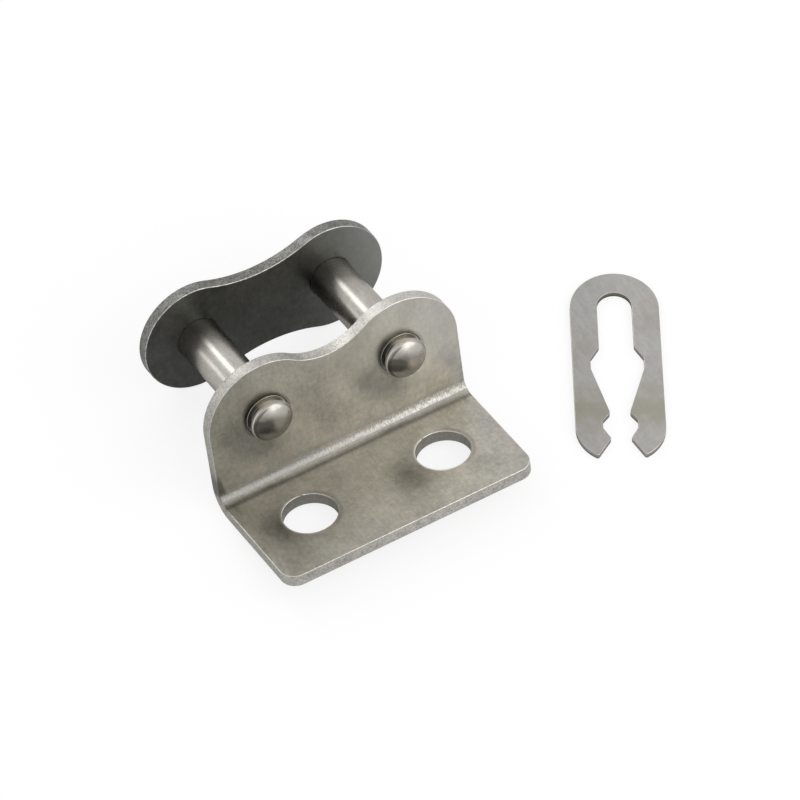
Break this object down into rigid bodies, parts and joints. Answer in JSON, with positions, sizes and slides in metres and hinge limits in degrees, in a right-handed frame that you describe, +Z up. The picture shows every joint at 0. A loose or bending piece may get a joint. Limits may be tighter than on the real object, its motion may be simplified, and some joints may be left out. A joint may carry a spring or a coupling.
{
  "type": "roller chain connecting link",
  "caption": "Roller chain connecting link with a spring clip and a drilled attachment foot folded out of its cover plate.",
  "frame": {"origin": "centre of the link, midway between the two pin axes and midway between the two plates; the table it rests on is at z = -9.36 mm", "axes": "+X along the pitch, from pin_left to pin_right; -Y towards the attachment foot; +Z up, with the link leaning back 12.08 degrees about X as it rests on a table, so that the pin axes lie along (0, 0.9779, -0.2092)"},
  "size_m": [0.0638, 0.0428, 0.0193],
  "materials": {
    "pin_plate_steel": "tumbled satin",
    "pin_steel": "polished",
    "sheet_steel": "tumbled satin",
    "spring_steel": "fine satin"
  },
  "bodies": {
    "link": {"pin_plate": "pin_plate_steel", "pin_left": "pin_steel", "pin_right": "pin_steel", "spring_clip": "spring_steel"},
    "cover": {"attachment_plate": "sheet_steel"}
  },
  "joints": [
    {"name": "cover_slide", "type": "slide", "parent": "link", "child": "cover", "axis": [0, -0.9779, 0.2092], "range_m": [0, 0.035]}
  ]
}
